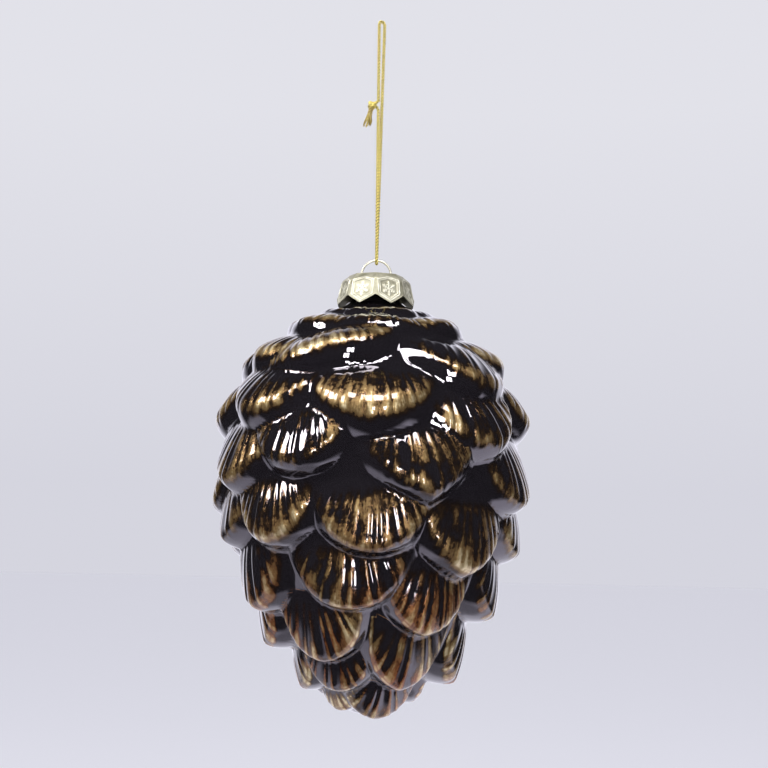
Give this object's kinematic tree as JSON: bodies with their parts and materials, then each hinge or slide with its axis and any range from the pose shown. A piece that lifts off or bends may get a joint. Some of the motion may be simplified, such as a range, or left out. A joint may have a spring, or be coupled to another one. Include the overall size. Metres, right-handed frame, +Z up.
{
  "type": "pine cone ornament",
  "caption": "Hanging blown-glass pine cone with overlapping scales, a stamped crown cap, a sprung wire loop and a knotted metallic cord.",
  "frame": {"origin": "inside top of the cord loop, where the loop bears on the hook or twig that holds it", "axes": "+Z up along the cone's axis and the hanging cord, -Y towards the cone's best face, X across the wire arch"},
  "size_m": [0.0939, 0.0938, 0.2098],
  "materials": {
    "glass": "gloss",
    "cap_metal": "satin",
    "wire_metal": "gloss",
    "cord": "metallic thread"
  },
  "bodies": {
    "root": {"glass_body": "glass", "cap": "cap_metal", "hanger_wire": "wire_metal", "hang_cord": "cord", "cord_knot": "cord", "cord_tails": "cord"}
  },
  "joints": []
}
